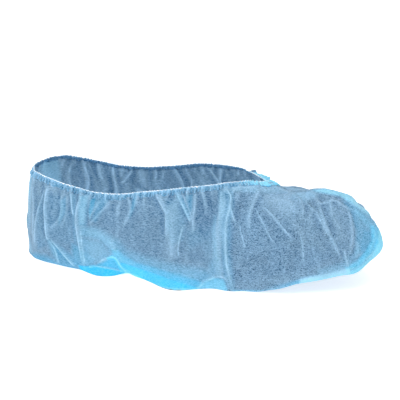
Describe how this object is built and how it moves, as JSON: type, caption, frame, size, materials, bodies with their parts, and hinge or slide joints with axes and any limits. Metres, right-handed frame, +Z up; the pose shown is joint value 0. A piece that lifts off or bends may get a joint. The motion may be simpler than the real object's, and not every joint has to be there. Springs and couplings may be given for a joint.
{
  "type": "shoe cover",
  "caption": "Non-woven shoe cover in its worn form: a gathered bag with flat sole, heel, toe cap and an open top drawn in by an elastic hem.",
  "frame": {"origin": "middle of the bounding box's bottom face, on the floor under the arch", "axes": "+X towards the toe, +Y towards the far side, +Z up; the pictured side faces -Y"},
  "size_m": [0.3202, 0.1192, 0.0904],
  "materials": {
    "spunbond_fabric": "matt light blue polypropylene non-woven, faintly see-through",
    "hem_fabric": "matt light blue non-woven, doubled and finely gathered",
    "elastic": "white elastic thread"
  },
  "bodies": {
    "root": {"cover_body": "spunbond_fabric", "gathered_hem": "hem_fabric", "elastic_band": "elastic"}
  },
  "joints": []
}
